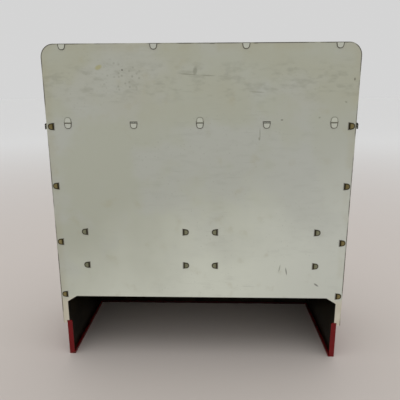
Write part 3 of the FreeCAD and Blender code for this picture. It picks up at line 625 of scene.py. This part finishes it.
def side_sheet():
    """A wall: white outside, with painted near-black shade inside, and gold on the tabs that are folded
    over in the light.
    """
    shade = Shade("side_sheet")
    white, white_rough = white_paint(shade, sheet_age_and_tab_shade(shade))
    gold, gold_rough = gold_paint(shade)
    tab = behind_panel(shade)
    within = shade.most(faces_inward(shade), faces_back(shade))
    colour = shade.mix(within, white, inside_painted_shade(shade))
    colour = shade.mix(tab, colour, gold)
    colour = tab_rim_wear_and_shade(shade, colour, side_tabs(shade), GOLD_RIM_WIDTH, GOLD_RIM)
    roughness = shade.between(tab, white_rough, gold_rough)
    metallic = shade.both(tab, GOLD_METAL)
    specular = shade.between(within, GLOSS, DULL)
    return shade.finish(colour, roughness, metallic, waviness(shade), WAVE_DEPTH, specular)


def gold_sheet():
    """Gold lacquer, greyed on the tabs behind the back panel."""
    shade = Shade("gold_sheet")
    colour, roughness = gold_paint(shade)
    colour = shade.mix(shade.both(behind_panel(shade), GREYED_SHARE), colour, GOLD_GREYED)
    colour = tab_rim_wear_and_shade(shade, colour, oven_tabs(shade), GOLD_RIM_WIDTH, GOLD_RIM)
    return shade.finish(colour, roughness, GOLD_METAL, waviness(shade), WAVE_DEPTH)


def red_sheet():
    """Glossy red enamel, chipped along the top of the base and scuffed at the floor."""
    shade = Shade("red_sheet")
    colour = shade.mix(shade.noise(size=18, detail=3), RED_PAINT, RED_DEEP)
    edge = shade.ramp(shade.distance(shade.z, KICK_TOP), *KICK_EDGE)
    foot = shade.ramp(shade.z, *KICK_FOOT)
    chipped = shade.both(shade.most(edge, foot), chips(shade, size=4))
    wear = shade.most(shade.specks(cell=9, radius=0.6, share=0.12), chipped)
    colour = shade.mix(shade.both(wear, 0.85), colour, SPECK_AND_SHADOW)
    # Painted shade on the inner faces behind the front of the base
    front_inside_shade = shade.both(faces_back(shade), shade.ramp(shade.y, *KICK_FRONT))
    colour = shade.mix(front_inside_shade, colour, RED_SHADED)
    roughness = shade.uneven(size=14, detail=3, low=0.14, high=0.30)
    return shade.finish(colour, roughness, height=waviness(shade), depth=0.2, specular=RED_GLOSS)


def black_plate():
    """Burner plates: black enamel with printed rings, greyed by rubbing."""
    shade = Shade("black_plate")
    u = shade.distance(shade.out_x, BURNER_HIGH.x - BURNER_RADIUS)
    middle_y = (BURNER_LOW.y + BURNER_HIGH.y) / 2
    v = shade.distance(shade.distance(shade.y, middle_y), BURNER_HIGH.y - BURNER_RADIUS - middle_y)
    ring = shade.ramp(shade.fold(shade.reach(u, v), 0.0, RING_PITCH), *RING_HALF, strength=0.8)
    rubbed = shade.clouds(size=7, detail=4, start=0.50, full=0.72, strength=0.5)
    colour = shade.mix(shade.most(ring, rubbed), BLACK_PAINT, BLACK_WORN)
    roughness = shade.uneven(size=5, detail=3, low=0.32, high=0.5)
    return shade.finish(colour, roughness, height=shade.noise(size=1.5, detail=2), depth=0.05)


def bright_steel():
    shade = Shade("bright_steel")
    dulled = shade.clouds(size=3, detail=4, start=0.4, full=0.7)
    colour = shade.mix(dulled, STEEL, STEEL_DULL)
    return shade.finish(colour, shade.uneven(size=2, detail=3, low=0.25, high=0.42), metallic=1.0)


def red_moulding():
    """Knobs of red plastic with a white pointer line on the grip."""
    shade = Shade("red_moulding")
    colour = shade.mix(shade.both(shade.noise(size=10, detail=3), 0.6), RED_MOULDED, RED_DEEP)
    middle = shade.ramp(shade.fold(shade.x, -KNOB_END, KNOB_PITCH), *POINTER_HALF)
    tip = shade.ramp(shade.y, *POINTER_DEPTH)
    upper = shade.ramp(shade.z, *POINTER_HEIGHT)
    colour = shade.mix(shade.both(middle, tip, upper), colour, WHITE_CLEAN)
    roughness = shade.uneven(size=6, detail=3, low=0.2, high=0.34)
    return shade.finish(colour, roughness, height=shade.noise(size=1.2, detail=2), depth=0.02)


def pale_cloth():
    """Floor, warm round the range and whiter further off; the darker floor near the range and the whiter
    floor far off are painted light.
    """
    shade = Shade("pale_cloth")
    far = shade.ramp(shade.reach(shade.x, shade.y), CLOTH_NEAR, CLOTH_FAR)
    colour = shade.mix(far, CLOTH_WARM, CLOTH_WHITE)
    return shade.finish(colour, shade.uneven(size=90, detail=2, low=0.7, high=0.85))


def paint(material, names):
    for name in names:
        slots = NODES[name].data.materials
        slots.clear()
        slots.append(material)


def paint_all():
    sides = ("left", "right")
    paint(white_sheet("back_sheet", panel_marks, inside_panel, panel_painted_shade), ["back_panel"])
    paint(side_sheet(), [side + "_side_panel" for side in sides])
    paint(white_sheet("front_sheet", knob_ticks, inside_front), ["front_panel"])
    paint(white_sheet("top_sheet", top_marks, faces_down), ["range_top"])
    paint(white_sheet("splash_sheet", splash_marks), ["splash_panel"])
    paint(white_sheet("door_sheet", door_marks, faces_back), [side + "_door_skin" for side in sides])
    gold_kinds = ("_oven_liner", "_oven_shelf", "_door_back")
    paint(gold_sheet(), [side + kind for side in sides for kind in gold_kinds])
    red_names = [side + kind for side in sides for kind in ("_kick_plate", "_door_handle")]
    paint(red_sheet(), red_names + ["front_kick_plate"])
    paint(black_plate(), ["burner_discs"])
    steel_names = [side + "_hinge_rod" for side in sides]
    paint(bright_steel(), steel_names + ["knob_pin_" + number for number in KNOB_NUMBERS])
    paint(red_moulding(), ["knob_cap_" + number for number in KNOB_NUMBERS])


# Floor, light and camera

def add_floor():
    """Wide round floor, which meets the sky at the same tone."""
    shape = bmesh.new()
    bmesh.ops.create_circle(shape, cap_ends=True, segments=FLOOR_SIDES, radius=FLOOR_RADIUS * MM)
    mesh = bpy.data.meshes.new("floor")
    shape.to_mesh(mesh)
    shape.free()
    mesh.materials.append(pale_cloth())
    cloth = bpy.data.objects.new("floor", mesh)
    bpy.context.collection.objects.link(cloth)


def add_key_light():
    lamp = bpy.data.lights.new("key", "AREA")
    lamp.shape = "DISK"
    lamp.size = KEY_SIZE * MM
    lamp.energy = KEY_POWER
    key = bpy.data.objects.new("key", lamp)
    key.location = Vector(KEY_PLACE) * MM
    bpy.context.collection.objects.link(key)


def add_sky():
    """Even white light all round, with its own level where it is seen or mirrored."""
    world = bpy.data.worlds.new("sky")
    world.use_nodes = True
    tree = world.node_tree
    light = tree.nodes["Background"]
    light.inputs["Color"].default_value = SKY_COLOUR
    path = tree.nodes.new("ShaderNodeLightPath")
    seen = path.outputs["Is Camera Ray"]
    for name in ("Is Glossy Ray", "Is Transmission Ray"):
        either = tree.nodes.new("ShaderNodeMath")
        either.operation = "MAXIMUM"
        tree.links.new(seen, either.inputs[0])
        tree.links.new(path.outputs[name], either.inputs[1])
        seen = either.outputs["Value"]
    level = tree.nodes.new("ShaderNodeMix")
    unseen_in, seen_in, result = MIX_SOCKETS["FLOAT"]
    tree.links.new(seen, level.inputs["Factor"])
    level.inputs[unseen_in].default_value = SKY_STRENGTH
    level.inputs[seen_in].default_value = SKY_SEEN
    tree.links.new(level.outputs[result], light.inputs["Strength"])
    bpy.context.scene.world = world


def add_camera():
    data = bpy.data.cameras.new("camera")
    data.sensor_width = SENSOR
    data.lens = FOCAL_PIXELS / PHOTO_WIDTH * SENSOR
    level = Vector((math.sin(CAMERA_YAW), -math.cos(CAMERA_YAW), 0))
    right = Vector((-math.cos(CAMERA_YAW), -math.sin(CAMERA_YAW), 0))
    ahead = level * math.cos(CAMERA_PITCH) - Vector((0, 0, math.sin(CAMERA_PITCH)))
    up = right.cross(ahead)
    rolled_right = right * math.cos(CAMERA_ROLL) + up * math.sin(CAMERA_ROLL)
    rolled_up = up * math.cos(CAMERA_ROLL) - right * math.sin(CAMERA_ROLL)
    turn = Matrix((rolled_right, rolled_up, -ahead)).transposed()
    eye = bpy.data.objects.new("camera", data)
    eye.matrix_world = Matrix.Translation(Vector(CAMERA_PLACE) * MM) @ turn.to_4x4()
    bpy.context.collection.objects.link(eye)
    bpy.context.scene.camera = eye


paint_all()
add_floor()
add_key_light()
add_sky()
add_camera()
bpy.context.scene.view_settings.view_transform = "Standard"
